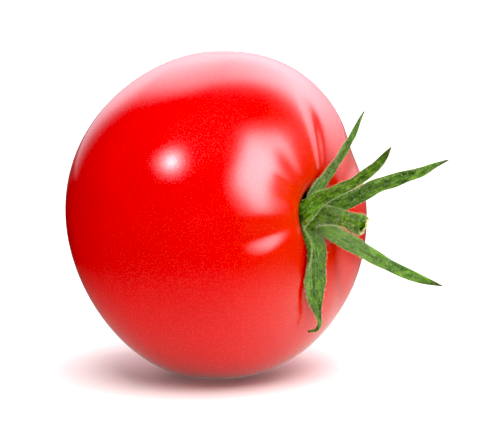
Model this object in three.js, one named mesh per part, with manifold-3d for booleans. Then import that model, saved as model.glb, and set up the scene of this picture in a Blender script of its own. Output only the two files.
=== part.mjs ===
// A ripe round tomato, picked with its calyx and a short end of its stalk, lying on its side.
// Millimetres, +Z up. The origin is the middle of the small flat spot that the fruit rests on, and the
// stalk points along +X, a little upwards. The fruit is one solid; the calyx base, the five sepals and
// the stalk end (pedicel) are solids of their own, 0.3 mm apart where they would touch.

import * as THREE from 'three';
import { mergeVertices } from 'three/addons/utils/BufferGeometryUtils.js';
import Module from 'manifold-3d';

const wasm = await Module();
wasm.setup();

const rad = THREE.MathUtils.degToRad;

// Driving dimensions of the fruit
const equatorRadius = 37.5;
const shoulderHeight = 30.3;     // equator to the top of the shoulder, without the stem cavity
const blossomDepth = 32.7;       // equator to the blossom end
const shoulderFullness = 2.6;    // exponent of the outline: 2 is an ellipse, more is squarer
const blossomFullness = 1.88;
const cavityDepth = 3.7;
const cavityRadius = 6.4;

// How it lies
const stalkTilt = rad(5.9);                                  // the stalk's axis above the horizontal
const fruitCentre = new THREE.Vector3(-2.6, 1.7, 36.95);     // the middle of the equator's plane
const calyxHeight = shoulderHeight - cavityDepth;            // equator's plane to the cavity's bottom

// Shallow ribs all round: how many, their height as a part of the radius, and where the first one is
const ribs = [
  { count: 2, height: 0.007, at: rad(45) },
  { count: 3, height: 0.009, at: rad(60) },
  { count: 4, height: 0.019, at: rad(67.5) },
];

// Furrows that run out of the stem cavity over the shoulder. Azimuth is right-handed about the stalk,
// from straight up; middle and reach are polar angles from the stalk.
const furrows = [
  { azimuth: rad(348), depth: 0.8, width: rad(6), middle: rad(22), reach: rad(14) },
  { azimuth: rad(294), depth: 1.3, width: rad(13), middle: rad(38), reach: rad(20) },
  { azimuth: rad(212), depth: 1.1, width: rad(10), middle: rad(26), reach: rad(16) },
  { azimuth: rad(166), depth: 0.8, width: rad(12), middle: rad(20), reach: rad(13) },
  { azimuth: rad(97), depth: 1, width: rad(9), middle: rad(27), reach: rad(12) },
  { azimuth: rad(62), depth: 0.5, width: rad(10), middle: rad(13), reach: rad(8) },
  { azimuth: rad(34), depth: 0.4, width: rad(8), middle: rad(17), reach: rad(9) },
];

const gap = 0.3;                 // kept between pieces that touch

// Calyx and stalk end
const calyxRadius = 4.0;
const calyxThickness = 2.2;
const pedicelRadius = 2.0;
const sepalThickness = 0.7;

const skin = { color: 0xd81608, roughness: 0.25, metalness: 0 };
const green = { color: 0x4c7a2e, roughness: 0.7, metalness: 0 };

const angleBetween = (a, b) => Math.atan2(Math.sin(a - b), Math.cos(a - b));
const bell = (x) => Math.exp(-x * x);

function piece(name, geometry, look) {
  const mesh = new THREE.Mesh(geometry, new THREE.MeshStandardMaterial(look));
  mesh.name = name;
  return mesh;
}

// A point of the skin, by polar angle from the stalk and azimuth about it. X is up, Z is the stalk's axis.
function skinPoint(polar, azimuth) {
  const shoulder = Math.cos(polar) > 0;
  const power = 2 / (shoulder ? shoulderFullness : blossomFullness);
  const height = shoulder ? shoulderHeight : -blossomDepth;
  let ring = equatorRadius * Math.sin(polar) ** power;
  let along = height * Math.abs(Math.cos(polar)) ** power;

  for (const rib of ribs) {
    ring *= 1 + rib.height * Math.sin(polar) ** 2 * Math.cos(rib.count * (azimuth - rib.at));
  }
  let sunk = 0;
  for (const furrow of furrows) {
    const across = bell(angleBetween(azimuth, furrow.azimuth) / furrow.width);
    sunk += furrow.depth * across * bell((polar - furrow.middle) / furrow.reach) * Math.sin(polar) ** 0.5;
  }
  const inward = 1 - sunk / Math.hypot(ring, along);
  if (shoulder) along -= cavityDepth * Math.exp(-((ring / cavityRadius) ** 3));
  return new THREE.Vector3(
    inward * ring * Math.cos(azimuth),
    inward * ring * Math.sin(azimuth),
    inward * along,
  );
}

// A closed body for cutting, from a geometry in its final place
function solid(geometry) {
  const bare = geometry.clone();
  bare.deleteAttribute('normal');
  bare.deleteAttribute('uv');
  const welded = mergeVertices(bare, 1e-3);
  const mesh = new wasm.Mesh({
    numProp: 3,
    vertProperties: new Float32Array(welded.attributes.position.array),
    triVerts: new Uint32Array(welded.index.array),
  });
  return new wasm.Manifold(mesh);
}

function geometryOf(body) {
  const mesh = body.getMesh();
  const geometry = new THREE.BufferGeometry();
  geometry.setAttribute('position', new THREE.BufferAttribute(new Float32Array(mesh.vertProperties), 3));
  geometry.setIndex(new THREE.BufferAttribute(new Uint32Array(mesh.triVerts), 1));
  geometry.computeVertexNormals();
  return geometry;
}

// The lying fruit's own frame: X up, Y sideways, Z along the stalk
const up = new THREE.Vector3(-Math.sin(stalkTilt), 0, Math.cos(stalkTilt));
const side = new THREE.Vector3(0, -1, 0);
const stalk = new THREE.Vector3(Math.cos(stalkTilt), 0, Math.sin(stalkTilt));
const lying = new THREE.Matrix4().makeBasis(up, side, stalk).setPosition(fruitCentre);

// The fruit: a ball drawn out to the outline, ribs, furrows and cavity, then cut flat where it rests
function makeFruit() {
  const segmentsAround = 72;
  const segmentsAlong = 44;
  const crowding = 1.3;          // draws the rings together towards the stem cavity
  const geometry = new THREE.SphereGeometry(1, segmentsAround, segmentsAlong).rotateX(Math.PI / 2);
  const points = geometry.attributes.position;
  for (let i = 0; i < points.count; i++) {
    const even = Math.acos(THREE.MathUtils.clamp(points.getZ(i), -1, 1)) / Math.PI;
    const azimuth = Math.atan2(points.getY(i), points.getX(i));
    const point = skinPoint(Math.PI * even ** crowding, azimuth);
    points.setXYZ(i, point.x, point.y, point.z);
  }
  geometry.applyMatrix4(lying);

  const table = new THREE.BoxGeometry(200, 200, 40).translate(0, 0, -20);
  return piece('fruit', geometryOf(solid(geometry).subtract(solid(table))), skin);
}

// The calyx base: a small thick disc in the cavity, domed below and nearly flat on top
function makeCalyxBase() {
  const segmentsAround = 28;
  const top = gap + calyxThickness;
  const profile = [
    [0, gap],
    [0.5 * calyxRadius, gap + 0.15],
    [0.8 * calyxRadius, gap + 0.7],
    [0.97 * calyxRadius, gap + 1.3],
    [calyxRadius, gap + 1.7],
    [0.9 * calyxRadius, top],
    [0, top],
  ].map(([x, y]) => new THREE.Vector2(x, y));
  const geometry = new THREE.LatheGeometry(profile, segmentsAround).rotateX(Math.PI / 2);
  return piece('calyx_base', geometry, green);
}

// A strip drawn along a curve: its section is laid out at each station by the function place, which is
// given how far along (0 to 1), across (-1 to 1) and through (-1 or 1) a point is
function strip(acrossCount, alongCount, place) {
  const geometry = new THREE.BoxGeometry(2, 1, 2, acrossCount, alongCount, 1);
  const points = geometry.attributes.position;
  for (let i = 0; i < points.count; i++) {
    const point = place(points.getY(i) + 0.5, points.getX(i), points.getZ(i));
    points.setXYZ(i, point.x, point.y, point.z);
  }
  return geometry;
}

// The sepals. Each has the points of its middle line in the calyx's frame, its widths from base to tip,
// the way its inner face looks at the base and at the tip, and a fold along its midrib (how far the
// edges rise towards the inner side for each millimetre across).
const sepals = [
  {
    line: [[2.2, 3.6, 3.3], [3.5, 3.1, 5.4], [4.7, 2.8, 8.1], [5.9, 2.3, 11.0], [7.3, 1.9, 14.7],
      [9.5, 1.5, 18.6], [11.5, 1.3, 21.6], [15.1, 1.1, 25.2]],
    widths: [3.3, 3.2, 2.8, 2.5, 0.5],
    inner: [[-0.4, -0.9, 0], [-0.2, -0.8, -0.2]],
    fold: 0.15,
  },
  {
    line: [[-4.4, 2.6, 3.1], [-6.9, 3.3, 3.9], [-9.6, 3.9, 4.0], [-12.2, 4.2, 3.9], [-15.1, 4.2, 3.6],
      [-18.2, 4.0, 3.2], [-23.0, 2.6, 2.7], [-25.1, 1.9, 2.3], [-26.3, 2.2, 1.5]],
    widths: [3.8, 4.8, 5.0, 3.4, 0.8],
    inner: [[0, 0.3, 0.9], [0.1, 0.5, 0.8]],
    fold: 0.15,
  },
  {
    line: [[-4.0, -2.9, 3.2], [-5.2, -4.0, 4.2], [-7.0, -6.0, 5.8], [-8.7, -7.9, 7.5], [-11.3, -10.6, 9.9],
      [-13.7, -13.3, 12.2], [-17.7, -18.5, 17.0], [-19.8, -22.0, 20.4]],
    widths: [3.2, 4.0, 3.2, 2.4, 0.5],
    inner: [[0.4, 0.5, 0.7], [0.1, 0.7, 0.6]],
    fold: 0.1,
  },
  {
    line: [[0.9, -3.8, 3.6], [1.9, -5.4, 6.3], [3.4, -7.7, 9.3], [5.2, -10.6, 12.9], [5.9, -12.8, 15.6],
      [6.6, -15.1, 18.2], [7.3, -17.3, 20.8], [9.3, -21.4, 25.3]],
    widths: [3.0, 3.6, 3.6, 2.6, 0.5],
    inner: [[-0.3, 0.6, 0.7], [-0.2, 0.7, 0.6]],
    fold: 0.1,
  },
  {
    line: [[4.7, 0.8, 2.7], [5.8, -0.1, 3.1], [8.2, -2.2, 4.1], [11.1, -4.6, 5.6], [14.2, -6.8, 7.0],
      [18.0, -9.3, 8.5], [21.8, -11.7, 9.8]],
    widths: [2.6, 3.4, 2.9, 2.1, 0.4],
    inner: [[-0.3, 0.3, 0.9], [-0.3, 0.5, 0.8]],
    fold: 0.35,
  },
];

function makeSepal(name, { line, widths, inner, fold }) {
  const middle = new THREE.CatmullRomCurve3(line.map((point) => new THREE.Vector3(...point)), false, 'centripetal');
  const width = new THREE.SplineCurve(widths.map((w, i) => new THREE.Vector2(i / (widths.length - 1), w)));
  const [atBase, atTip] = inner.map((direction) => new THREE.Vector3(...direction));
  const geometry = strip(4, 18, (along, across, through) => {
    const centre = middle.getPointAt(along);
    const tangent = middle.getTangentAt(along);
    const edgeways = atBase.clone().lerp(atTip, along).cross(tangent).negate().normalize();
    const facing = edgeways.clone().cross(tangent);
    const halfWidth = width.getPoint(along).y / 2;
    const halfThickness = sepalThickness / 2 * (1 - 0.6 * along) * (1 - 0.5 * Math.abs(across));
    return centre
      .addScaledVector(edgeways, across * halfWidth)
      .addScaledVector(facing, through * halfThickness + fold * Math.abs(across) * halfWidth);
  });
  return piece(name, geometry, green);
}

// The pedicel: a round stalk, thick at its foot, with a flared knuckle where it was broken off askew
function makePedicel() {
  const segmentsAround = 16;
  const foot = gap + calyxThickness + gap;
  const middle = new THREE.CatmullRomCurve3([
    new THREE.Vector3(-0.3, 0, foot),
    new THREE.Vector3(-0.4, 0.6, 6.9),
    new THREE.Vector3(-1.2, 0.8, 11.1),
    new THREE.Vector3(-2.8, 0.9, 15.9),
  ]);
  const girth = new THREE.SplineCurve([[0, 1.2], [0.2, 1.07], [0.5, 0.97], [0.8, 0.94], [1, 1.08]]
    .map(([x, y]) => new THREE.Vector2(x, y)));
  const tear = new THREE.Vector2(0.6, 0.36);    // how far the broken end leans, for each millimetre across
  const geometry = new THREE.CylinderGeometry(1, 1, 1, segmentsAround, 10);
  const points = geometry.attributes.position;
  for (let i = 0; i < points.count; i++) {
    const along = points.getY(i) + 0.5;
    const across = pedicelRadius * girth.getPoint(along).y;
    const centre = middle.getPointAt(along);
    const offset = new THREE.Vector2(points.getZ(i), points.getX(i)).multiplyScalar(across);
    const lean = tear.dot(offset) * THREE.MathUtils.smoothstep(along, 0.6, 1);
    points.setXYZ(i, centre.x + offset.x, centre.y + offset.y, centre.z + lean);
  }
  return piece('pedicel', geometry, green);
}

const calyx = new THREE.Group();
calyx.applyMatrix4(lying.clone().multiply(new THREE.Matrix4().makeTranslation(0, 0, calyxHeight)));
calyx.add(makeCalyxBase(), makePedicel());
sepals.forEach((sepal, i) => calyx.add(makeSepal(`sepal_${i + 1}`, sepal)));

const tomato = new THREE.Group();
tomato.add(makeFruit(), calyx);

export default tomato;
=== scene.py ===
import math
import bpy
import numpy as np
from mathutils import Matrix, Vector


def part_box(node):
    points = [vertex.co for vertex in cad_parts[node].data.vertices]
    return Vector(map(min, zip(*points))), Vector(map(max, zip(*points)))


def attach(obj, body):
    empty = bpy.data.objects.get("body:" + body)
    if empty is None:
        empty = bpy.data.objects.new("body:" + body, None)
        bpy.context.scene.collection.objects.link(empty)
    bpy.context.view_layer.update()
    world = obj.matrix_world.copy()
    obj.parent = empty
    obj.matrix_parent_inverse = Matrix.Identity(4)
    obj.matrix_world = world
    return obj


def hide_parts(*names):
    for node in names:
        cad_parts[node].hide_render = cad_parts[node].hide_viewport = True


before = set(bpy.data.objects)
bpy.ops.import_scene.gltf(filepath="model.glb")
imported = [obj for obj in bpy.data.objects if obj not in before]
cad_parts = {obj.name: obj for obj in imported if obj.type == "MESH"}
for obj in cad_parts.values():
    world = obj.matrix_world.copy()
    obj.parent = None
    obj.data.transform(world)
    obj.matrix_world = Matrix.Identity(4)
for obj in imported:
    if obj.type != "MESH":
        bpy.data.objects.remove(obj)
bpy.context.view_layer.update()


# ---- The fruit ----
# A ripe round tomato: one smooth berry with shallow ribs, furrows that run out of the stem cavity, and
# a slightly flattened spot where it lies. The skin is thin, tight and waxy over soft red flesh, so it
# shines, scatters light a little way in, and shows a fine pale speckle.

mm = 0.001
equator_radius = 37.5 * mm
shoulder_height = 30.3 * mm
blossom_depth = 32.7 * mm
shoulder_fullness = 2.6
blossom_fullness = 1.88
cavity_depth = 3.7 * mm
cavity_radius = 6.4 * mm
stalk_tilt = math.radians(5.9)

fruit_low, fruit_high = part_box("fruit")
fruit_centre = np.array([
    fruit_low.x + blossom_depth,
    (fruit_low.y + fruit_high.y) / 2,
    (fruit_low.z + fruit_high.z) / 2,
])

# The lying fruit's own directions: up across the stalk, sideways, and along the stalk
fruit_up = np.array([-math.sin(stalk_tilt), 0.0, math.cos(stalk_tilt)])
fruit_side = np.array([0.0, -1.0, 0.0])
fruit_stalk = np.array([math.cos(stalk_tilt), 0.0, math.sin(stalk_tilt)])
calyx_centre = fruit_centre + (shoulder_height - cavity_depth) * fruit_stalk

# Ribs: how many round the fruit, their height as a part of the radius, where the first one is
ribs = [(2, 0.007, 45.0), (3, 0.009, 60.0), (4, 0.019, 67.5)]

# Furrows: azimuth about the stalk from straight up, depth, half-width, middle and reach as polar angles
furrows = [
    (348, 0.8 * mm, 6, 22, 14),
    (294, 1.3 * mm, 13, 38, 20),
    (212, 1.1 * mm, 10, 26, 16),
    (166, 0.8 * mm, 12, 20, 13),
    (97, 1.0 * mm, 9, 27, 12),
    (62, 0.5 * mm, 10, 13, 8),
    (34, 0.4 * mm, 8, 17, 9),
]


def bell(x):
    return np.exp(-x * x)


def angle_between(a, b):
    return np.arctan2(np.sin(a - b), np.cos(a - b))


def lying(points, origin):
    """Points in the fruit's directions (up, side, stalk) brought to where the fruit lies."""
    return origin + points @ np.array([fruit_up, fruit_side, fruit_stalk])


def skin_points(polar, azimuth):
    """The skin at a polar angle from the stalk and an azimuth about it, in the fruit's directions."""
    shoulder = np.cos(polar) > 0
    power = np.where(shoulder, 2 / shoulder_fullness, 2 / blossom_fullness)
    height = np.where(shoulder, shoulder_height, -blossom_depth)
    ring = equator_radius * np.sin(polar) ** power
    along = height * np.abs(np.cos(polar)) ** power
    for count, rise, first in ribs:
        ring = ring * (1 + rise * np.sin(polar) ** 2 * np.cos(count * (azimuth - math.radians(first))))
    sunk = 0.0
    for at, depth, width, middle, reach in furrows:
        across = bell(angle_between(azimuth, math.radians(at)) / math.radians(width))
        run = bell((polar - math.radians(middle)) / math.radians(reach)) * np.sin(polar) ** 0.5
        sunk = sunk + depth * across * run
    inward = 1 - sunk / np.hypot(ring, along)
    along = np.where(shoulder, along - cavity_depth * np.exp(-(ring / cavity_radius) ** 3), along)
    return np.stack([inward * ring * np.cos(azimuth), inward * ring * np.sin(azimuth), inward * along], -1)


def make_piece(name, points, faces, material, smooth=True):
    mesh = bpy.data.meshes.new(name)
    mesh.from_pydata(np.asarray(points).reshape(-1, 3).tolist(), [], faces)
    mesh.polygons.foreach_set("use_smooth", [smooth] * len(mesh.polygons))
    mesh.materials.append(material)
    mesh.update()
    piece = bpy.data.objects.new(name, mesh)
    bpy.context.scene.collection.objects.link(piece)
    return piece


def ring_faces(rings, around, first=0):
    """Quads between rings of points that each close on themselves, wound so that they face outwards."""
    faces = []
    for i in range(rings - 1):
        for j in range(around):
            a = first + i * around + j
            b = first + i * around + (j + 1) % around
            faces.append((a, a + around, b + around, b))
    return faces


def capped(rings, around):
    """Faces of a tube of rings closed at both ends by a point: the two points come after the rings."""
    start, end = rings * around, rings * around + 1
    faces = ring_faces(rings, around)
    last = (rings - 1) * around
    for j in range(around):
        following = (j + 1) % around
        faces.append((start, j, following))
        faces.append((end, last + following, last + j))
    return faces


def new_material(name):
    material = bpy.data.materials.new(name)
    material.use_nodes = True
    nodes, links = material.node_tree.nodes, material.node_tree.links
    return material, nodes, links, nodes["Principled BSDF"]


def mottled(nodes, links, shader, place, scale, first, second, detail=2):
    """Gives the shader a base colour in two tones that run into each other in soft spots."""
    spots = nodes.new("ShaderNodeTexNoise")
    spots.inputs["Scale"].default_value = scale
    spots.inputs["Detail"].default_value = detail
    links.new(place, spots.inputs["Vector"])
    tone = nodes.new("ShaderNodeMix")
    tone.data_type = "RGBA"
    tone.inputs["A"].default_value = (*first, 1)
    tone.inputs["B"].default_value = (*second, 1)
    links.new(spots.outputs["Fac"], tone.inputs["Factor"])
    links.new(tone.outputs["Result"], shader.inputs["Base Color"])


def recolour(nodes, links, shader, colour, factor):
    """Lays a colour over what the shader's base colour shows now, as far as the factor says."""
    under = shader.inputs["Base Color"].links[0].from_socket
    mix = nodes.new("ShaderNodeMix")
    mix.data_type = "RGBA"
    mix.inputs["B"].default_value = (*colour, 1)
    links.new(factor, mix.inputs["Factor"])
    links.new(under, mix.inputs["A"])
    links.new(mix.outputs["Result"], shader.inputs["Base Color"])


def graded(nodes, links, source, low, high, strength=1.0):
    """A factor that runs smoothly from 0 where the source is low to its strength where it is high."""
    grade = nodes.new("ShaderNodeMapRange")
    grade.interpolation_type = "SMOOTHSTEP"
    grade.inputs["From Min"].default_value = low
    grade.inputs["From Max"].default_value = high
    grade.inputs["To Max"].default_value = strength
    links.new(source, grade.inputs["Value"])
    return grade.outputs["Result"]


def distance_from(nodes, links, place, centre):
    away = nodes.new("ShaderNodeVectorMath")
    away.operation = "DISTANCE"
    away.inputs[1].default_value = centre
    links.new(place, away.inputs[0])
    return away.outputs["Value"]


def colour_skin(nodes, links, shader, place, to_calyx):
    """Deep red, more orange on the shoulder round the stalk."""
    mottled(nodes, links, shader, place, 70, (0.51, 0.0, 0.003), (0.61, 0.001, 0.002), detail=3)
    shoulder = graded(nodes, links, to_calyx, 34 * mm, 6 * mm)
    recolour(nodes, links, shader, (0.59, 0.016, 0.003), shoulder)

    # Fine pale dots under the cuticle
    dots = nodes.new("ShaderNodeTexVoronoi")
    dots.inputs["Scale"].default_value = 1 / (0.40 * mm)
    links.new(place, dots.inputs["Vector"])
    dot = nodes.new("ShaderNodeMapRange")
    dot.inputs["From Min"].default_value = 0.10
    dot.inputs["From Max"].default_value = 0.45
    dot.inputs["To Min"].default_value = 0.20
    dot.inputs["To Max"].default_value = 0.0
    links.new(dots.outputs["Distance"], dot.inputs["Value"])
    recolour(nodes, links, shader, (0.78, 0.16, 0.07), dot.outputs["Result"])

    # Two darker patches: painted shade, almost black, on the skin in the crevice round the stalk's foot, and
    # the small scar that the flower left
    crevice_shade = graded(nodes, links, to_calyx, 7.8 * mm, 5.8 * mm)
    recolour(nodes, links, shader, (0.030, 0.004, 0.001), crevice_shade)
    to_scar = distance_from(nodes, links, place, fruit_centre - blossom_depth * fruit_stalk)
    scar = graded(nodes, links, to_scar, 1.5 * mm, 0.4 * mm)
    recolour(nodes, links, shader, (0.20, 0.055, 0.02), scar)


def gloss_skin(nodes, links, shader, place, to_calyx):
    """A cuticle that isn't quite smooth, and that is dull down in the stem cavity."""
    grain = nodes.new("ShaderNodeTexNoise")
    grain.inputs["Scale"].default_value = 1 / (0.45 * mm)
    grain.inputs["Detail"].default_value = 2
    links.new(place, grain.inputs["Vector"])
    rough = nodes.new("ShaderNodeMapRange")
    rough.inputs["To Min"].default_value = 0.11
    rough.inputs["To Max"].default_value = 0.20
    links.new(grain.outputs["Fac"], rough.inputs["Value"])
    dulled = nodes.new("ShaderNodeMath")
    links.new(rough.outputs["Result"], dulled.inputs[0])
    links.new(graded(nodes, links, to_calyx, 10 * mm, 5 * mm, 0.7), dulled.inputs[1])
    links.new(dulled.outputs["Value"], shader.inputs["Roughness"])
    bump = nodes.new("ShaderNodeBump")
    bump.inputs["Strength"].default_value = 0.35
    bump.inputs["Distance"].default_value = 0.03 * mm
    links.new(grain.outputs["Fac"], bump.inputs["Height"])
    links.new(bump.outputs["Normal"], shader.inputs["Normal"])


def skin_material():
    material, nodes, links, shader = new_material("tomato_skin")
    shader.inputs["IOR"].default_value = 1.72
    shader.inputs["Subsurface Weight"].default_value = 0.25
    shader.inputs["Subsurface Radius"].default_value = (1.0, 0.18, 0.1)
    shader.inputs["Subsurface Scale"].default_value = 2.5 * mm
    place = nodes.new("ShaderNodeTexCoord").outputs["Object"]
    to_calyx = distance_from(nodes, links, place, calyx_centre)
    colour_skin(nodes, links, shader, place, to_calyx)
    gloss_skin(nodes, links, shader, place, to_calyx)
    return material


def make_fruit():
    rings, around = 300, 256
    crowding = 1.3                       # draws the rings together towards the stem cavity
    resting_softness = 0.25 * mm         # how gently the flattened spot runs out into the round skin
    even = (np.arange(rings) + 1) / (rings + 1)
    azimuth = np.arange(around) * 2 * math.pi / around
    polar, turned = np.meshgrid(math.pi * even ** crowding, azimuth, indexing="ij")
    skin = skin_points(polar, turned).reshape(-1, 3)
    ends = np.array([[0, 0, shoulder_height - cavity_depth], [0, 0, -blossom_depth]])
    points = lying(np.concatenate([skin, ends]), fruit_centre)
    height = points[:, 2]
    points[:, 2] = (height + np.sqrt(height ** 2 + resting_softness ** 2)) / 2
    return make_piece("fruit_skin", points, capped(rings, around), skin_material())


fruit = make_fruit()
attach(fruit, "root")
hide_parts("fruit")


# ---- The calyx base ----
# The small fleshy disc at the bottom of the stem cavity, from which the sepals and the stalk grow. It is
# firm green tissue, domed underneath and waxy, and it swells out into the foot of every sepal.

base_radius = 4.7 * mm
base_top = 2.5 * mm
# The azimuths at which the sepals leave the disc, from straight up
sepal_feet = [83, 158, 216, 286, 10]


def leaf_tissue():
    """Green plant skin: a mottled colour, paler where asked, and its fine glandular bumps."""
    tree = bpy.data.node_groups.new("leaf_tissue", "ShaderNodeTree")
    tree.interface.new_socket("Paleness", in_out="INPUT", socket_type="NodeSocketFloat")
    tree.interface.new_socket("Place", in_out="INPUT", socket_type="NodeSocketVector")
    tree.interface.new_socket("Colour", in_out="OUTPUT", socket_type="NodeSocketColor")
    tree.interface.new_socket("Normal", in_out="OUTPUT", socket_type="NodeSocketVector")
    nodes, links = tree.nodes, tree.links
    given = nodes.new("NodeGroupInput")
    out = nodes.new("NodeGroupOutput")
    place = nodes.new("ShaderNodeTexCoord")

    mottle = nodes.new("ShaderNodeTexNoise")
    mottle.inputs["Scale"].default_value = 1 / (1.3 * mm)
    mottle.inputs["Detail"].default_value = 5
    mottle.inputs["Roughness"].default_value = 0.62
    links.new(given.outputs["Place"], mottle.inputs["Vector"])
    greens = nodes.new("ShaderNodeValToRGB")
    ramp = greens.color_ramp
    ramp.elements[0].position = 0.36
    ramp.elements[0].color = (0.011, 0.042, 0.003, 1)
    ramp.elements[1].position = 0.66
    ramp.elements[1].color = (0.13, 0.28, 0.015, 1)
    middle = ramp.elements.new(0.5)
    middle.color = (0.043, 0.130, 0.006, 1)
    links.new(mottle.outputs["Fac"], greens.inputs["Fac"])

    cells = nodes.new("ShaderNodeTexNoise")
    cells.inputs["Scale"].default_value = 1 / (0.32 * mm)
    cells.inputs["Detail"].default_value = 2
    links.new(place.outputs["Object"], cells.inputs["Vector"])
    frost = nodes.new("ShaderNodeMapRange")
    frost.inputs["From Min"].default_value = 0.42
    frost.inputs["From Max"].default_value = 0.68
    frost.inputs["To Min"].default_value = 0.35
    frost.inputs["To Max"].default_value = 1.0
    links.new(cells.outputs["Fac"], frost.inputs["Value"])
    amount = nodes.new("ShaderNodeMath")
    amount.operation = "MULTIPLY"
    amount.use_clamp = True
    links.new(frost.outputs["Result"], amount.inputs[0])
    links.new(given.outputs["Paleness"], amount.inputs[1])
    pale = nodes.new("ShaderNodeMix")
    pale.data_type = "RGBA"
    pale.inputs["B"].default_value = (0.22, 0.34, 0.11, 1)
    links.new(amount.outputs["Value"], pale.inputs["Factor"])
    links.new(greens.outputs["Color"], pale.inputs["A"])
    links.new(pale.outputs["Result"], out.inputs["Colour"])

    glands = nodes.new("ShaderNodeTexVoronoi")
    glands.inputs["Scale"].default_value = 1 / (0.45 * mm)
    links.new(place.outputs["Object"], glands.inputs["Vector"])
    relief = nodes.new("ShaderNodeMath")
    relief.operation = "SUBTRACT"
    links.new(cells.outputs["Fac"], relief.inputs[0])
    links.new(glands.outputs["Distance"], relief.inputs[1])
    bump = nodes.new("ShaderNodeBump")
    bump.inputs["Strength"].default_value = 0.9
    bump.inputs["Distance"].default_value = 0.15 * mm
    links.new(relief.outputs["Value"], bump.inputs["Height"])
    links.new(bump.outputs["Normal"], out.inputs["Normal"])
    return tree


leaf_group = leaf_tissue()


def green_material(name, roughness=0.55):
    """A material with the leaf tissue in it, and the nodes to work further on it."""
    material, nodes, links, shader = new_material(name)
    shader.inputs["Roughness"].default_value = roughness
    shader.inputs["Specular IOR Level"].default_value = 0.22
    shader.inputs["Subsurface Weight"].default_value = 0.15
    shader.inputs["Subsurface Radius"].default_value = (0.4, 1.0, 0.2)
    shader.inputs["Subsurface Scale"].default_value = 0.5 * mm
    tissue = nodes.new("ShaderNodeGroup")
    tissue.node_tree = leaf_group
    links.new(nodes.new("ShaderNodeTexCoord").outputs["Object"], tissue.inputs["Place"])
    links.new(tissue.outputs["Colour"], shader.inputs["Base Color"])
    links.new(tissue.outputs["Normal"], shader.inputs["Normal"])
    return material, nodes, links, shader, tissue


def attribute(nodes, name):
    found = nodes.new("ShaderNodeAttribute")
    found.attribute_name = name
    return found.outputs["Fac"]


def make_calyx_base():
    around, rings = 120, 40
    foot_spread = 0.34                   # half-width of the swelling at each sepal's foot, in radians
    bulge = 0.12 * mm
    azimuth = np.arange(around) * 2 * math.pi / around
    swelling = sum(bell(angle_between(azimuth, math.radians(foot)) / foot_spread) for foot in sepal_feet)
    # The outline from the middle of the underside to the rim and back in to the stalk's foot
    turn = np.linspace(0.02, 0.98, rings) * math.pi
    out = np.sin(turn)[:, None] ** 0.8 * base_radius * (0.92 + 0.09 * swelling[None, :])
    low, high = 0.25 * mm, base_top
    height = (low + high) / 2 - (high - low) / 2 * np.cos(turn)[:, None] * np.ones(around)
    height = height + bulge * swelling[None, :] * np.sin(turn)[:, None]
    points = np.stack([out * np.cos(azimuth), out * np.sin(azimuth), height], -1).reshape(-1, 3)
    ends = np.array([[0, 0, low], [0, 0, high]])
    material, nodes, links, shader, tissue = green_material("calyx_base", 0.45)
    tissue.inputs["Paleness"].default_value = 0.12
    points = lying(np.concatenate([points, ends]), calyx_centre)
    faces = [face[::-1] for face in capped(rings, around)]
    return make_piece("calyx_disc", points, faces, material)


calyx_base = make_calyx_base()
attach(calyx_base, "root")
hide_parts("calyx_base")


# ---- The sepals ----
# Five narrow leaf-like sepals, each its own blade on the calyx base. They are thin and firm, with a
# midrib and side nerves on the stalk's side, pale hairy edges, and tips that have begun to dry out.

blade_thickness = 0.62 * mm
nerve_spacing = 0.34                     # as a part of half the blade's width

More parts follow.
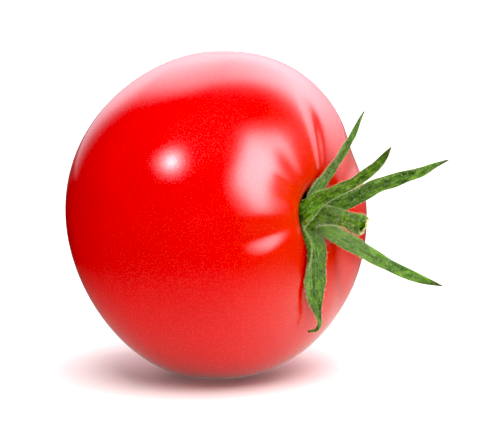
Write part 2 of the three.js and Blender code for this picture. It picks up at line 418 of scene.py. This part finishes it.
# Each blade: the points of its middle line in the calyx's directions (mm), its widths from foot to tip
# (mm), the way its stalk side looks from foot to tip, and how far its edges rise towards the stalk side
# for each millimetre across. "curl" rolls one edge towards the stalk side: which edge, where across it
# begins, how far it turns in degrees, and the middle and reach of the rolled stretch along the blade.
sepals = {
    "sepal_1": {
        "line": [(0.3, 1.4, 1.5), (0.4, 4.4, 1.1), (0.8, 5.0, 2.3), (2.0, 4.3, 3.8), (3.5, 3.2, 5.4),
                 (4.7, 2.8, 8.1), (5.9, 2.3, 11.0), (7.3, 1.9, 14.7), (9.5, 1.5, 18.6), (11.5, 1.3, 21.6),
                 (13.4, 1.2, 23.6), (15.1, 1.1, 25.2)],
        "widths": [3.4, 5.6, 6.2, 4.6, 3.5, 3.1, 2.8, 2.7, 2.7, 2.7, 2.6, 2.3, 1.6, 0.3],
        "looks": [(0, 0, 1), (0.1, -0.4, 0.9), (0.1, -0.9, 0.4), (-0.1, -1, 0.1), (-0.3, -0.9, 0.1),
                  (-0.4, -0.9, 0), (-0.4, -0.9, 0), (-0.4, -0.9, -0.1), (-0.4, -0.9, -0.1),
                  (-0.3, -0.9, -0.1), (-0.3, -0.9, -0.1), (-0.2, -0.8, -0.2)],
        "folds": [0.0, 0.05, 0.22, 0.2, 0.15, 0.2, 0.3],
        "curl": (1, 0.4, -25, 0.5, 0.4),
        "pale": 0.0,
    },
    "sepal_2": {
        "line": [(-1.2, 1.0, 1.4), (-3.1, 2.7, 1.6), (-4.9, 3.4, 2.4), (-6.9, 3.8, 3.3), (-9.6, 4.2, 3.8),
                 (-12.2, 4.4, 3.8), (-15.1, 4.3, 3.5), (-18.2, 4.0, 3.1), (-20.7, 3.4, 2.8),
                 (-23.0, 2.6, 2.6), (-25.1, 1.9, 2.2), (-26.3, 2.2, 1.4), (-26.5, 3.4, 0.2)],
        "widths": [3.4, 6.6, 7.8, 7.2, 6.2, 5.6, 5.2, 4.2, 2.6, 1.4, 0.9, 0.6],
        "looks": [(0, 0, 1), (0, 0.2, 1), (0, 0.3, 0.9), (0, 0.45, 0.87), (0, 0.5, 0.8), (0.1, 0.55, 0.8),
                  (0.2, 0.6, 0.8)],
        "folds": [0.0, 0.1, 0.15, 0.2, 0.25, 0.35, 0.3],
        "curl": (1, 0.25, 125, 0.25, 0.17),
        "pale": 0.25,
    },
    "sepal_3": {
        "line": [(-1.2, -0.9, 1.5), (-3.0, -2.0, 2.3), (-4.2, -3.1, 3.3), (-5.2, -4.0, 4.2),
                 (-7.0, -6.0, 5.8), (-8.7, -7.9, 7.5), (-11.3, -10.6, 9.9), (-13.7, -13.3, 12.2),
                 (-15.9, -16.0, 14.6), (-17.7, -18.5, 17.0), (-19.8, -22.0, 20.4)],
        "widths": [3.0, 4.2, 4.4, 4.3, 3.9, 3.5, 3.0, 2.7, 2.4, 1.5, 0.3],
        "looks": [(0, 0, 1), (0.3, 0.3, 0.9), (0.4, 0.5, 0.7), (0.35, 0.6, 0.65), (0.3, 0.65, 0.6),
                  (0.2, 0.7, 0.6), (0.1, 0.7, 0.6)],
        "folds": [0.0, 0.1, 0.15, 0.1, 0.12, 0.2, 0.3],
        "curl": (-1, 0.4, -35, 0.6, 0.35),
        "pale": 0.6,
    },
    "sepal_4": {
        "line": [(0.3, -1.4, 1.5), (0.6, -2.9, 2.3), (0.9, -3.8, 3.6), (1.9, -5.4, 6.3), (3.4, -7.7, 9.3),
                 (5.2, -10.6, 12.9), (5.9, -12.8, 15.6), (6.6, -15.1, 18.2), (7.3, -17.3, 20.8),
                 (8.4, -19.3, 23.0), (9.3, -21.4, 25.3)],
        "widths": [3.0, 3.8, 4.2, 4.3, 4.1, 3.8, 3.5, 2.9, 2.2, 1.3, 0.3],
        "looks": [(0, 0, 1), (-0.2, 0.5, 0.8), (-0.3, 0.6, 0.7), (-0.3, 0.6, 0.7), (-0.2, 0.7, 0.6),
                  (-0.2, 0.7, 0.6)],
        "folds": [0.0, 0.1, 0.2, 0.15, 0.1, 0.15, 0.25],
        "curl": (-1, 0.4, 30, 0.4, 0.3),
        "pale": 0.1,
    },
    "sepal_5": {
        "line": [(1.5, 0.5, 1.5), (3.4, 1.0, 2.0), (4.7, 0.8, 2.6), (5.8, -0.1, 3.0), (8.2, -2.2, 4.1),
                 (11.1, -4.6, 5.6), (14.2, -6.8, 7.0), (18.0, -9.3, 8.5), (20.4, -10.7, 9.3),
                 (21.8, -11.7, 9.8)],
        "widths": [2.8, 3.4, 3.2, 2.7, 2.3, 2.1, 2.0, 1.6, 1.1, 0.3],
        "looks": [(0, 0, 1), (-0.2, 0.3, 0.9), (-0.3, 0.4, 0.9), (-0.3, 0.45, 0.85), (-0.3, 0.5, 0.8)],
        "folds": [0.0, 0.35, 0.55, 0.6, 0.6, 0.6, 0.5],
        "curl": (1, 0.4, 0, 0.3, 0.2),
        "pale": 0.35,
    },
}


def smooth_through(values, count):
    """Even steps along a smooth line through the given points, or through evenly spaced values."""
    values = np.array(values, float)
    if values.ndim == 1:
        reach = np.arange(len(values), dtype=float)
        values = values[:, None]
    else:
        reach = np.concatenate([[0], np.cumsum(np.linalg.norm(np.diff(values, axis=0), axis=1))])
    slopes = np.gradient(values, reach, axis=0)
    at = np.linspace(0, reach[-1], count)
    i = np.clip(np.searchsorted(reach, at, side="right") - 1, 0, len(reach) - 2)
    span = (reach[i + 1] - reach[i])[:, None]
    u = (at - reach[i])[:, None] / span
    return (
        (2 * u ** 3 - 3 * u ** 2 + 1) * values[i] + (u ** 3 - 2 * u ** 2 + u) * span * slopes[i]
        + (3 * u ** 2 - 2 * u ** 3) * values[i + 1] + (u ** 3 - u ** 2) * span * slopes[i + 1]
    )


def spread_along(values, count):
    """Directions or numbers given at even steps, blended to as many stations."""
    values = np.array(values, float)
    given = np.linspace(0, 1, len(values))
    at = np.linspace(0, 1, count)
    return np.stack([np.interp(at, given, column) for column in values.T], -1)


def unit(vectors):
    return vectors / np.linalg.norm(vectors, axis=-1, keepdims=True)


def sepal_material(name, paleness):
    material, nodes, links, shader, tissue = green_material(name)
    shader.inputs["Sheen Weight"].default_value = 0.05
    along, across, inner = (attribute(nodes, which) for which in ("along", "across", "inner"))
    streaks = nodes.new("ShaderNodeAttribute")
    streaks.attribute_name = "streaks"
    links.new(streaks.outputs["Vector"], tissue.inputs["Place"])
    stalk_side = nodes.new("ShaderNodeMath")
    stalk_side.operation = "MULTIPLY"
    links.new(inner, stalk_side.inputs[0])
    links.new(graded(nodes, links, along, 1.0, 0.0, paleness), stalk_side.inputs[1])
    links.new(stalk_side.outputs["Value"], tissue.inputs["Paleness"])

    # Nerves run the length of the blade: thin pale lines on both faces
    lines = nodes.new("ShaderNodeMath")
    lines.operation = "PINGPONG"
    lines.inputs[1].default_value = nerve_spacing / 2
    links.new(across, lines.inputs[0])
    nerve = graded(nodes, links, lines.outputs["Value"], 0.030, 0.0, 0.40)
    recolour(nodes, links, shader, (0.30, 0.52, 0.14), nerve)

    # Pale, hairy edges
    edge = nodes.new("ShaderNodeMath")
    edge.operation = "ABSOLUTE"
    links.new(across, edge.inputs[0])
    rim = graded(nodes, links, edge.outputs["Value"], 0.92, 1.0, 0.5)
    recolour(nodes, links, shader, (0.30, 0.42, 0.12), rim)

    # The tip has dried to a dark brown, unevenly
    dry_noise = nodes.new("ShaderNodeTexNoise")
    dry_noise.inputs["Scale"].default_value = 1 / (0.9 * mm)
    links.new(nodes.new("ShaderNodeTexCoord").outputs["Object"], dry_noise.inputs["Vector"])
    unevenly = nodes.new("ShaderNodeMath")
    unevenly.operation = "MULTIPLY_ADD"
    unevenly.inputs[1].default_value = 0.16
    links.new(dry_noise.outputs["Fac"], unevenly.inputs[0])
    links.new(along, unevenly.inputs[2])
    dry = graded(nodes, links, unevenly.outputs["Value"], 0.97, 1.10, 0.85)
    recolour(nodes, links, shader, (0.055, 0.045, 0.018), dry)
    return material


def rolled_edge(across, along, half_width, curl):
    """One edge rolled towards the stalk side: the turn, and how far it draws the edge inwards and up."""
    side, start, turned, middle, reach = curl
    beyond = np.clip(side * across - start, 0, 1)
    angle = math.radians(turned) * bell((along - middle) / reach) * beyond / (1 - start)
    rolled = beyond * half_width
    safe = np.where(np.abs(angle) < 1e-4, 1e-4, angle)
    drawn_in = side * rolled * (1 - np.sin(safe) / safe)
    drawn_up = rolled * (1 - np.cos(safe)) / safe
    return side * angle, drawn_in, drawn_up


def blade_relief(along, across, through, half_width):
    """How far the surface stands off the blade's middle sheet, with its midrib and side nerves."""
    midrib_height, midrib_width, nerve_height = 0.30 * mm, 0.11, 0.05 * mm
    thinning = 1 - 0.45 * along
    thickness = blade_thickness / 2 * thinning * np.sign(through) * np.abs(through) ** 0.7
    thickness = thickness * np.minimum(1, half_width / (0.8 * mm))
    midrib = midrib_height * bell(across / midrib_width) * (1 - 0.7 * along)
    nerves = nerve_height * np.cos(across * 2 * math.pi / nerve_spacing)
    relief = (midrib * (through > 0) + nerves) * np.abs(through) * np.minimum(1, half_width / (1.2 * mm))
    return thickness + relief


def make_sepal(name, line, widths, looks, folds, curl, pale):
    stations, around = 150, 48
    middle = smooth_through(line, stations) * mm
    tangent = unit(np.gradient(middle, axis=0))
    edgeways = unit(np.cross(tangent, unit(spread_along(looks, stations))))
    facing = np.cross(edgeways, tangent)
    along = np.linspace(0, 1, stations)[:, None]
    half_width = np.maximum(smooth_through(widths, stations), 0.2) * mm / 2
    fold = smooth_through(folds, stations)

    turn = np.arange(around) * 2 * math.pi / around
    across, through = np.cos(turn)[None, :], np.sin(turn)[None, :]
    ridge = np.sqrt(across ** 2 + 0.02) - math.sqrt(0.02)
    angle, drawn_in, drawn_up = rolled_edge(across, along, half_width, curl)
    sideways = across * half_width - drawn_in
    rise = fold * ridge * half_width + drawn_up
    # The edges wave a little
    wave_height = 0.16 * mm
    wave = np.sin(along * 31 + 2 * across) * np.abs(across) ** 3 * np.sin(math.pi * along)
    rise = rise + wave_height * wave
    out = blade_relief(along, across, through, half_width)
    points = (
        middle[:, None, :]
        + edgeways[:, None, :] * (sideways - out * np.sin(angle))[..., None]
        + facing[:, None, :] * (rise + out * np.cos(angle))[..., None]
    )
    ends = np.array([middle[0], middle[-1] + tangent[-1] * 0.25 * mm])
    placed = lying(np.concatenate([points.reshape(-1, 3), ends]), calyx_centre)
    inner = np.clip(0.5 + 2 * through, 0, 1)
    blade = make_piece(name + "_blade", placed, capped(stations, around), sepal_material(name, pale))

    def note(title, grid, first, last):
        values = np.concatenate([np.broadcast_to(grid, (stations, around)).ravel(), [first, last]])
        blade.data.attributes.new(title, "FLOAT", "POINT").data.foreach_set("value", values)

    # Where the tissue's mottling is read, drawn out along the blade
    reach = np.linalg.norm(np.diff(middle, axis=0), axis=1).sum()
    streaks = np.broadcast_arrays(across * half_width * 1.3, along * reach * 0.5, inner * 20 * mm)
    streaks = np.stack(streaks, -1)
    streaks = np.concatenate([streaks.reshape(-1, 3), np.zeros((2, 3))])
    blade.data.attributes.new("streaks", "FLOAT_VECTOR", "POINT").data.foreach_set("vector", streaks.ravel())
    note("along", along, 0, 1)
    note("across", across, 0, 0)
    note("inner", inner, 0.5, 0.5)
    note("hairy", 0.25 + 1.3 * np.abs(across) ** 8 + 0.3 * (through > 0), 0, 0)
    return blade


blades = []
for name, shape in sepals.items():
    blade = make_sepal(name, **shape)
    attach(blade, "root")
    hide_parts(name)
    blades.append(blade)


# ---- The pedicel ----
# The short end of the fruit's stalk: a stiff round green stem that flares into the calyx base and swells
# to a knuckle, where it was snapped off askew. The break is hollow, with a few pale torn fibres.

stalk_end = (-2.8, 0.9, 15.9)       # in the calyx's directions, mm
break_slope = (0.60, 0.12)          # how steeply the break rises upwards and sideways


def make_pedicel():
    stations, inside, around = 120, 14, 72
    line = [(-0.1, 0.1, 1.9), (-0.3, 0.3, 4.2), (-0.4, 0.6, 6.9), (-1.2, 0.8, 11.1), (-2.1, 0.9, 13.6),
            stalk_end]
    radii = [3.3, 2.45, 2.2, 2.12, 2.02, 1.93, 1.88, 1.86, 1.92, 2.12, 2.2, 2.0]
    middle = smooth_through(line, stations) * mm
    radius = smooth_through(radii, stations) * mm
    along = np.linspace(0, 1, stations)[:, None]
    azimuth = (np.arange(around) * 2 * math.pi / around)[None, :]
    ridges = 0.05 * np.cos(5 * azimuth + 0.6) + 0.02 * np.cos(11 * azimuth)
    knuckle = bell((along - 0.93) / 0.07) * (0.06 * np.cos(azimuth - 0.4) + 0.04 * np.cos(3 * azimuth))
    out = radius * (1 + ridges * np.sin(math.pi * along) ** 0.5 + knuckle)
    leaning = np.clip((along - 0.55) / 0.45, 0, 1) ** 2
    ragged = 0.22 * mm * np.sin(7 * azimuth + 1) + 0.12 * mm * np.sin(17 * azimuth)

    def ring_points(centre, reach, lean):
        x, y = reach * np.cos(azimuth), reach * np.sin(azimuth)
        rise = (break_slope[0] * x + break_slope[1] * y) * lean + ragged * lean ** 4
        return centre[:, None, :] + np.stack([x, y, rise], -1)

    skin = ring_points(middle, out, leaning)
    # Over the snapped edge and down into the hollow
    depth = np.linspace(0, 1, inside)[:, None]
    walls = out[-1:] * (0.93 - 0.28 * depth ** 0.5 - 0.62 * np.clip(depth - 0.7, 0, 1) / 0.3)
    sunk = middle[-1] - np.array([0, 0, 1.0]) * (2.2 * mm * np.clip(depth / 0.7, 0, 1) - 0.08 * mm)
    hollow = ring_points(sunk, walls, 1 - 0.5 * np.clip(depth, 0, 1))
    points = np.concatenate([skin, hollow]).reshape(-1, 3)
    ends = np.array([middle[0], sunk[-1] - np.array([0, 0, 0.05 * mm])])
    placed = lying(np.concatenate([points, ends]), calyx_centre)

    material, nodes, links, shader, tissue = green_material("pedicel")
    tissue.inputs["Paleness"].default_value = 0.03
    # Painted shade: deep in the hollow of the break the stalk is drawn almost black
    broken = attribute(nodes, "broken")
    recolour(nodes, links, shader, (0.02, 0.035, 0.01), graded(nodes, links, broken, 0.35, 0.6, 1.0))
    cut = graded(nodes, links, attribute(nodes, "cut"), 0.3, 0.9, 1.0)
    recolour(nodes, links, shader, (0.70, 0.72, 0.34), cut)
    faces = [face[::-1] for face in capped(stations + inside, around)]
    stem = make_piece("pedicel_stem", placed, faces, material)
    rings = stations + inside
    # How deep each ring lies in the hollow, which sets how much painted shade it gets
    broken_at = np.concatenate([np.zeros(stations), np.linspace(0, 1, inside)])
    # The pale torn wood shows on the rim's far side only
    far_side = np.clip(0.5 + 1.6 * np.cos(azimuth - math.radians(245)), 0, 1)
    on_rim = np.zeros((rings, 1))
    on_rim[stations - 1:stations + 3] = 1
    hairy = np.concatenate([np.linspace(1.2, 0.8, stations), np.zeros(inside)])
    for title, values in (("broken", broken_at), ("cut", on_rim * far_side), ("hairy", hairy)):
        grid = np.broadcast_to(values if values.ndim == 2 else values[:, None], (rings, around))
        per_point = np.concatenate([grid.ravel(), [0, 1 if title == "broken" else 0]])
        stem.data.attributes.new(title, "FLOAT", "POINT").data.foreach_set("value", per_point)
    return stem


def fibre_material():
    material, nodes, links, shader = new_material("fibre")
    shader.inputs["Roughness"].default_value = 0.6
    place = nodes.new("ShaderNodeTexCoord").outputs["Object"]
    mottled(nodes, links, shader, place, 1 / (0.4 * mm), (0.75, 0.74, 0.38), (0.42, 0.46, 0.14))
    return material


def make_fibres():
    """Torn strands of the stalk's vessels, standing out of the break."""
    generator = np.random.default_rng(7)
    sides, steps, count = 5, 7, 16
    rooted = 1.3                        # how deep in the break they stand, mm
    turn = np.arange(sides) * 2 * math.pi / sides
    points, faces = [], []
    for _ in range(count):
        azimuth = generator.uniform(0, 2 * math.pi)
        out = generator.uniform(1.25, 1.7)
        x, y = out * math.cos(azimuth), out * math.sin(azimuth)
        rise = break_slope[0] * x + break_slope[1] * y
        foot = np.array(stalk_end) + np.array([x, y, rise - rooted])
        reach = generator.uniform(0.9, 1.7)
        lean = generator.normal(0, 0.35, 2)
        girth = generator.uniform(0.07, 0.16)
        first = len(points)
        for k in range(steps):
            u = k / (steps - 1)
            centre = foot + np.array([lean[0] * u ** 2, lean[1] * u ** 2, reach * u])
            for angle in turn:
                width = girth * (1 - 0.8 * u)
                points.append(centre + width * np.array([math.cos(angle), math.sin(angle), 0]))
        faces += [face[::-1] for face in ring_faces(steps, sides, first)]
        faces.append(tuple(range(first, first + sides))[::-1])
        faces.append(tuple(range(first + (steps - 1) * sides, first + steps * sides)))
    placed = lying(np.array(points) * mm, calyx_centre)
    return make_piece("pedicel_fibres", placed, faces, fibre_material())


pedicel = make_pedicel()
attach(pedicel, "root")
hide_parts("pedicel")
fibres = make_fibres()
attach(fibres, "root")


# ---- The hairs ----
# Short pale hairs that stand on the sepals and the stalk, thickest along the sepals' edges. Each is a
# soft outgrowth of the green skin itself, 0.2 to 0.6 mm long and far thinner than a thread.

def hair_tree():
    tree = bpy.data.node_groups.new("hairs", "GeometryNodeTree")
    sockets = tree.interface
    sockets.new_socket("Geometry", in_out="INPUT", socket_type="NodeSocketGeometry")
    sockets.new_socket("Hairs per square metre", in_out="INPUT", socket_type="NodeSocketFloat")
    sockets.new_socket("Length", in_out="INPUT", socket_type="NodeSocketFloat")
    sockets.new_socket("Radius", in_out="INPUT", socket_type="NodeSocketFloat")
    sockets.new_socket("Seed", in_out="INPUT", socket_type="NodeSocketInt")
    sockets.new_socket("Material", in_out="INPUT", socket_type="NodeSocketMaterial")
    sockets.new_socket("Geometry", in_out="OUTPUT", socket_type="NodeSocketGeometry")
    nodes, links = tree.nodes, tree.links
    given, out = nodes.new("NodeGroupInput"), nodes.new("NodeGroupOutput")

    hairy = nodes.new("GeometryNodeInputNamedAttribute")
    hairy.data_type = "FLOAT"
    hairy.inputs["Name"].default_value = "hairy"
    density = nodes.new("ShaderNodeMath")
    density.operation = "MULTIPLY"
    links.new(hairy.outputs["Attribute"], density.inputs[0])
    links.new(given.outputs["Hairs per square metre"], density.inputs[1])
    scatter = nodes.new("GeometryNodeDistributePointsOnFaces")
    links.new(given.outputs["Geometry"], scatter.inputs["Mesh"])
    links.new(density.outputs["Value"], scatter.inputs["Density"])
    links.new(given.outputs["Seed"], scatter.inputs["Seed"])

    hair = nodes.new("GeometryNodeMeshCone")
    hair.fill_type = "NONE"
    hair.inputs["Vertices"].default_value = 3
    hair.inputs["Radius Top"].default_value = 0
    links.new(given.outputs["Radius"], hair.inputs["Radius Bottom"])
    links.new(given.outputs["Length"], hair.inputs["Depth"])

    # Every hair leans its own way and has its own length, a part of the full one
    most_lean, full_turn = 0.6, 6.28
    shortest, longest = 0.4, 1.0
    lean = nodes.new("FunctionNodeRandomValue")
    lean.data_type = "FLOAT_VECTOR"
    lean.inputs["Min"].default_value = (-most_lean, -most_lean, 0)
    lean.inputs["Max"].default_value = (most_lean, most_lean, full_turn)
    links.new(given.outputs["Seed"], lean.inputs["Seed"])
    turned = nodes.new("FunctionNodeRotateRotation")
    turned.rotation_space = "LOCAL"
    links.new(scatter.outputs["Rotation"], turned.inputs["Rotation"])
    links.new(lean.outputs["Value"], turned.inputs["Rotate By"])
    size = nodes.new("FunctionNodeRandomValue")
    size.inputs[2].default_value = shortest
    size.inputs[3].default_value = longest
    links.new(given.outputs["Seed"], size.inputs["Seed"])
    grow = nodes.new("GeometryNodeInstanceOnPoints")
    links.new(scatter.outputs["Points"], grow.inputs["Points"])
    links.new(hair.outputs["Mesh"], grow.inputs["Instance"])
    links.new(turned.outputs["Rotation"], grow.inputs["Rotation"])
    links.new(size.outputs[1], grow.inputs["Scale"])

    real = nodes.new("GeometryNodeRealizeInstances")
    links.new(grow.outputs["Instances"], real.inputs["Geometry"])
    painted = nodes.new("GeometryNodeSetMaterial")
    links.new(real.outputs["Geometry"], painted.inputs["Geometry"])
    links.new(given.outputs["Material"], painted.inputs["Material"])
    links.new(painted.outputs["Geometry"], out.inputs["Geometry"])
    return tree


def hair_material():
    material, nodes, links, shader = new_material("hair")
    shader.inputs["Roughness"].default_value = 0.5
    place = nodes.new("ShaderNodeTexCoord").outputs["Object"]
    mottled(nodes, links, shader, place, 1 / (1.5 * mm), (0.74, 0.78, 0.52), (0.40, 0.52, 0.22))
    return material


def make_hairs(beds):
    """Hairs on all the beds, as one plain mesh."""
    bed = bpy.data.meshes.new("hair_bed")
    points, faces, hairy = [], [], []
    for piece in beds:
        first = len(points)
        points += [tuple(vertex.co) for vertex in piece.data.vertices]
        faces += [tuple(first + i for i in face.vertices) for face in piece.data.polygons]
        hairy += [entry.value for entry in piece.data.attributes["hairy"].data]
    bed.from_pydata(points, [], faces)
    bed.attributes.new("hairy", "FLOAT", "POINT").data.foreach_set("value", hairy)
    growing = bpy.data.objects.new("hair_bed", bed)
    bpy.context.scene.collection.objects.link(growing)
    modifier = growing.modifiers.new("hairs", "NODES")
    modifier.node_group = hair_tree()
    wanted = {
        "Hairs per square metre": 1.8e7,
        "Length": 0.6 * mm,
        "Radius": 0.028 * mm,
        "Seed": 3,
        "Material": hair_material(),
    }
    for socket in modifier.node_group.interface.items_tree:
        if socket.in_out == "INPUT" and socket.name in wanted:
            modifier[socket.identifier] = wanted[socket.name]
    bpy.context.view_layer.update()
    grown = growing.evaluated_get(bpy.context.evaluated_depsgraph_get())
    mesh = bpy.data.meshes.new_from_object(grown)
    mesh.materials.clear()
    mesh.materials.append(wanted["Material"])
    mesh.polygons.foreach_set("material_index", [0] * len(mesh.polygons))
    hairs = bpy.data.objects.new("hairs", mesh)
    bpy.context.scene.collection.objects.link(hairs)
    bpy.data.objects.remove(growing)
    return hairs


hairs = make_hairs([*blades, pedicel])
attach(hairs, "root")


# ---- Floor, light and camera ----
# A plain pale floor, lit so brightly that only the fruit's shadow shows on it. Three soft lamps and an
# even surround light the scene; a dome and a table, which only mirrored rays see, give the highlights.

fruit_middle = Vector(fruit_centre)
camera_azimuth = math.radians(35.6)
camera_elevation = math.radians(10)
camera_distance = 1.0
towards_camera = Vector((
    math.sin(camera_azimuth) * math.cos(camera_elevation),
    -math.cos(camera_azimuth) * math.cos(camera_elevation),
    math.sin(camera_elevation),
))
camera_right = Vector((math.cos(camera_azimuth), math.sin(camera_azimuth), 0))
camera_up = towards_camera.cross(camera_right)
aim = fruit_middle + camera_right * 8.57 * mm - camera_up * 0.14 * mm
view_width = 115.3 * mm

camera = bpy.data.objects.new("camera", bpy.data.cameras.new("camera"))
bpy.context.scene.collection.objects.link(camera)
camera.data.lens = camera.data.sensor_width * camera_distance / view_width
camera.location = aim + towards_camera * camera_distance
camera.rotation_euler = (-towards_camera).to_track_quat("-Z", "Y").to_euler()
bpy.context.scene.camera = camera


def stage_material(name, colour, glow=0.0, tint=(1, 1, 1)):
    material = bpy.data.materials.new(name)
    material.use_nodes = True
    shader = material.node_tree.nodes["Principled BSDF"]
    shader.inputs["Base Color"].default_value = (*colour, 1)
    shader.inputs["Roughness"].default_value = 0.9
    shader.inputs["Specular IOR Level"].default_value = 0.0
    shader.inputs["Emission Color"].default_value = (*tint, 1)
    shader.inputs["Emission Strength"].default_value = glow
    return material


def make_floor():
    half = 4.0
    corners = [(-half, -half, 0), (half, -half, 0), (half, half, 0), (-half, half, 0)]
    material = stage_material("floor", (0.93, 0.87, 0.855), glow=0.05)
    return make_piece("floor", corners, [(0, 1, 2, 3)], material, smooth=False)


def glowing(name, points, faces, glow, tint):
    """A surface that glows by as much at each point, and that only mirrored rays see."""
    material = stage_material(name, (0, 0, 0), tint=tint)
    nodes, links = material.node_tree.nodes, material.node_tree.links
    amount = nodes.new("ShaderNodeAttribute")
    amount.attribute_name = "glow"
    links.new(amount.outputs["Fac"], nodes["Principled BSDF"].inputs["Emission Strength"])
    surface = make_piece(name, points, faces, material, smooth=False)
    surface.data.attributes.new("glow", "FLOAT", "POINT").data.foreach_set("value", glow)
    surface.visible_camera = False
    surface.visible_diffuse = False
    surface.visible_shadow = False
    return surface


def make_light_table():
    """What the skin mirrors of the floor: bright round the fruit, most on its right, and dark under it."""
    spread = np.sinh(np.linspace(-4.5, 4.5, 91)) / math.sinh(4.5) * 3.0
    right, front = np.meshgrid(spread, spread, indexing="ij")
    # Near the fruit the light fades slower to the right than to the left
    beside = right - 30 * mm
    fading = np.where(beside < 0, 60 * mm, 80 * mm)
    under_fruit = bell(np.hypot(right, front) / (22 * mm))
    near = 1.2 * bell(beside / fading) * bell(np.maximum(front, 0) / (52 * mm))
    near = near * bell(np.minimum(front, 0) / (90 * mm)) * (1 - 0.9 * under_fruit)
    # Far behind, a fainter fan of light opens to the right
    sideways = right / np.maximum(-front, 10 * mm)
    far = 0.5 * np.clip((-front - 0.1) / 0.4, 0, 1) * bell((sideways - 0.8) / 0.9)
    glow = near + far
    across, away = np.array(camera_right), np.array((towards_camera.x, towards_camera.y, 0))
    away = away / np.linalg.norm(away)
    above_floor = np.array([0, 0, 0.5 * mm])
    points = right[..., None] * across + front[..., None] * away + above_floor
    count = len(spread)
    faces = [
        (i * count + j, i * count + j + 1, (i + 1) * count + j + 1, (i + 1) * count + j)
        for i in range(count - 1) for j in range(count - 1)
    ]
    return glowing("light_table", points, faces, glow.ravel(), (1, 1, 0.93))


floor = make_floor()
floor.visible_glossy = False
make_light_table()


def direction(azimuth, elevation):
    """A unit vector by azimuth from the camera, to its right, and elevation, both in degrees."""
    turn, rise = camera_azimuth + np.radians(azimuth), np.radians(elevation)
    return np.stack([np.sin(turn) * np.cos(rise), -np.cos(turn) * np.cos(rise), np.sin(rise)], -1)


def soft_edge(outside, softness):
    """1 inside a shape and 0 outside it, for a distance outside its edge, both in degrees."""
    return 1 / (1 + np.exp(np.clip(outside * 4 / softness, -60, 60)))


def studio_glow(azimuth, elevation):
    """How bright the studio looks from the fruit: a small lamp, a large softbox and a tall backdrop."""
    def aside(middle):
        return (azimuth - middle + 180) % 360 - 180

    def across_from(middle_azimuth, middle_elevation):
        """How far a direction is to the right of a lamp's middle and above it, in degrees."""
        return aside(middle_azimuth) * math.cos(math.radians(middle_elevation)), elevation - middle_elevation

    lamp_x, lamp_y = across_from(-29, 43)
    lamp = 13 * bell(np.hypot(lamp_x / 11, lamp_y / 8.5)) + 6 * soft_edge(np.hypot(lamp_x, lamp_y) - 4, 2)

    # The softbox is a square with round corners, standing on one of them
    box_size = 15.5
    box_x, box_y = across_from(72.5, 21)
    corner_x, corner_y = (box_x + box_y) * math.sqrt(0.5), (box_y - box_x) * math.sqrt(0.5)
    reach = (np.abs(corner_x) ** 4 + np.abs(corner_y) ** 4) ** 0.25
    box = 8.8 * soft_edge(reach - box_size, 12) * np.clip(0.8 + elevation / 60, 0, 1)

    # The backdrop stands behind, arched over at the top; it is brightest on the right and dim near the floor
    leftwards = aside(180)
    behind = np.degrees(np.arcsin(np.cos(np.radians(elevation)) * np.cos(np.radians(leftwards))))
    backdrop = soft_edge(27 - behind, 13) * soft_edge(leftwards - 30, 22)
    near_floor = 1.1
    full = 2.8 + 2.0 * np.clip(-leftwards / 45, 0, 1)
    backdrop = backdrop * (near_floor + (full - near_floor) * np.clip((elevation - 3) / 22, 0, 1))
    return lamp + box + backdrop


def make_dome():
    """The studio as only the skin's gloss sees it: a dome with the lamps' and the backdrop's soft shapes."""
    rings, around, radius = 92, 180, 1.6
    elevation, azimuth = np.meshgrid(
        np.linspace(-2, 89.5, rings), np.arange(around) * 360 / around, indexing="ij",
    )
    points = np.array(fruit_middle) + radius * direction(azimuth, elevation)
    top = np.array(fruit_middle) + np.array([0, 0, radius])
    points = np.concatenate([points.reshape(-1, 3), [top]])
    faces = ring_faces(rings, around)
    last = (rings - 1) * around
    faces += [(last + (j + 1) % around, last + j, rings * around) for j in range(around)]
    glow = np.append(studio_glow(azimuth, elevation).ravel(), 0)
    return glowing("studio_dome", points, faces, glow, (1, 0.9, 1))


make_dome()


def softbox(name, azimuth, elevation, distance, size, brightness, tint=(1, 1, 1)):
    """A rectangular light that faces the fruit and lights it, without showing in the gloss."""
    away = Vector(direction(azimuth, elevation))
    light = bpy.data.lights.new(name, "AREA")
    light.shape = "RECTANGLE"
    light.size, light.size_y = size
    light.color = tint
    light.energy = brightness * math.pi * size[0] * size[1]
    lamp = bpy.data.objects.new(name, light)
    bpy.context.scene.collection.objects.link(lamp)
    lamp.location = fruit_middle + away * distance
    lamp.rotation_euler = away.to_track_quat("Z", "Y").to_euler()
    lamp.visible_camera = False
    lamp.visible_glossy = False


softbox("backdrop", 170, 32, 1.5, (3.0, 2.0), 1.3, (1, 0.9, 1))
softbox("front_fill", 10, 3, 1.4, (1.4, 0.4), 3.4)
softbox("overhead", 28, 70, 1.4, (1.6, 1.6), 4.9)

world = bpy.data.worlds.new("studio")
bpy.context.scene.world = world
world.use_nodes = True
surround = world.node_tree.nodes["Background"]
surround.inputs["Color"].default_value = (1, 1, 1, 1)
surround.inputs["Strength"].default_value = 0.33

grading = bpy.context.scene.view_settings
grading.view_transform = "Standard"
grading.use_curve_mapping = True
grading.curve_mapping.black_level = (0.018, 0.018, 0.018)
grading.curve_mapping.update()
